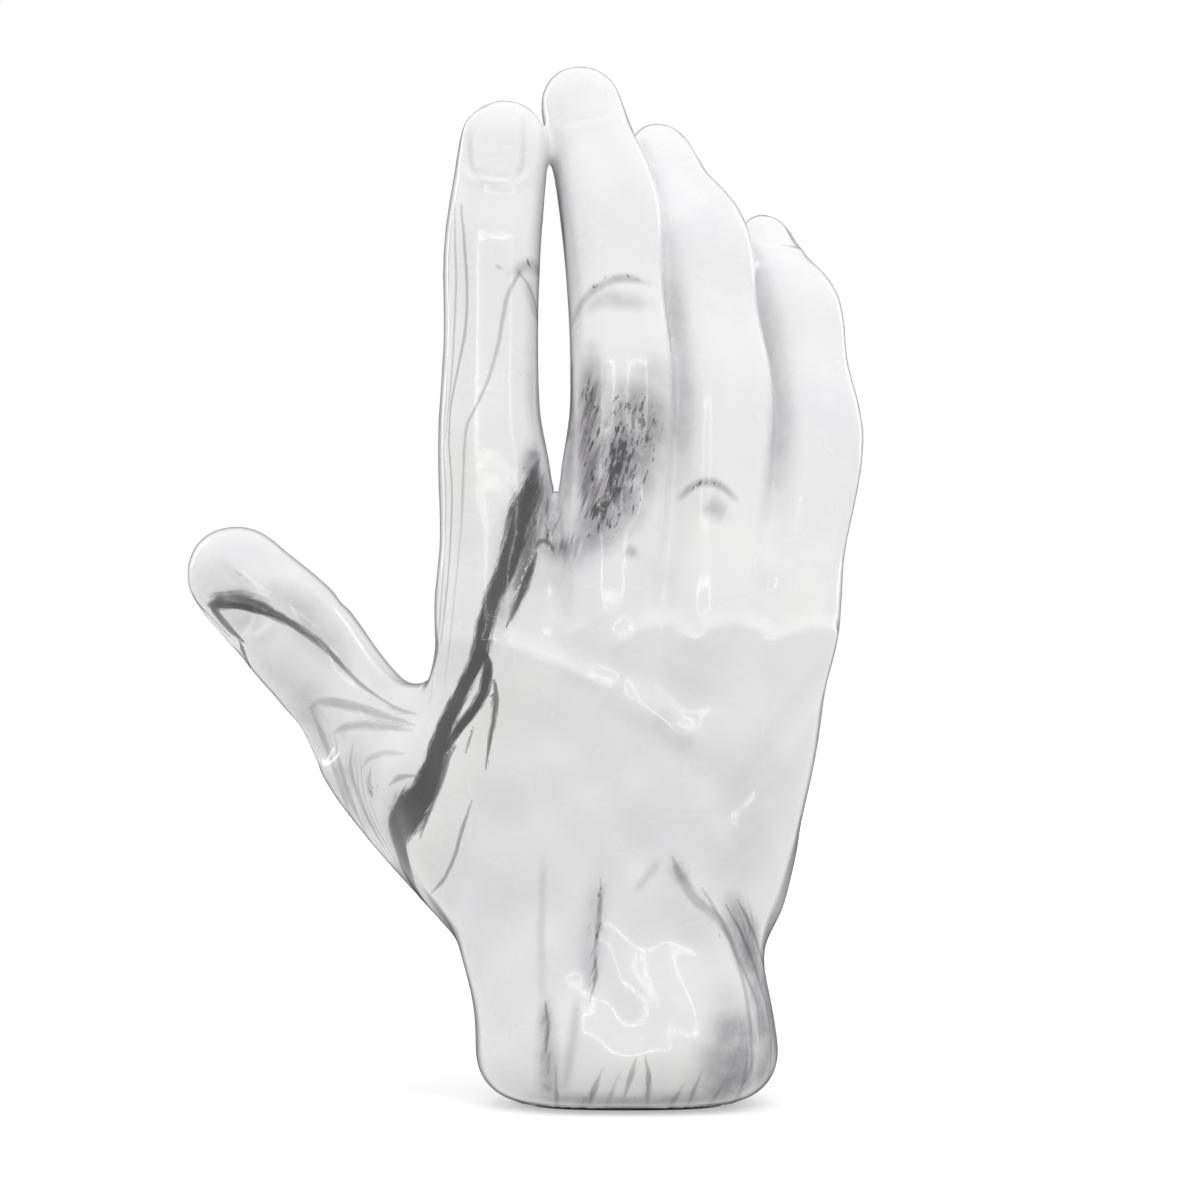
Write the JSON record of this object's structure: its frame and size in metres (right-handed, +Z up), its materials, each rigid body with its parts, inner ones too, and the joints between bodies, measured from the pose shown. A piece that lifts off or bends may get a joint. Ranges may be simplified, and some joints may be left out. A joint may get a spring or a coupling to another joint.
{
  "type": "hand sculpture",
  "caption": "Life-size right hand standing upright on its cut wrist, fingers nearly together and thumb apart, glossy white with grey marble veining, for a shelf or for hanging jewellery.",
  "frame": {"origin": "middle of the base pad's underside, the face that the hand stands on", "axes": "+Z up to the fingertips, -Y out of the back of the hand (the pictured side), -X to the thumb"},
  "size_m": [0.1429, 0.0659, 0.2178],
  "materials": {
    "marbled_resin": "white cast resin with charcoal and grey marble veins under a high-gloss clear lacquer",
    "steel_wire": "drawn bare wire",
    "plaster": "poured and left rough",
    "hardboard": "plain pressed board",
    "felt": "dense black felt"
  },
  "bodies": {
    "root": {"hand_shell": "marbled_resin", "thumb_wire": "steel_wire", "index_wire": "steel_wire", "middle_wire": "steel_wire", "ring_wire": "steel_wire", "little_wire": "steel_wire", "plaster_weight": "plaster", "base_plate": "hardboard", "base_pad": "felt"}
  },
  "joints": []
}
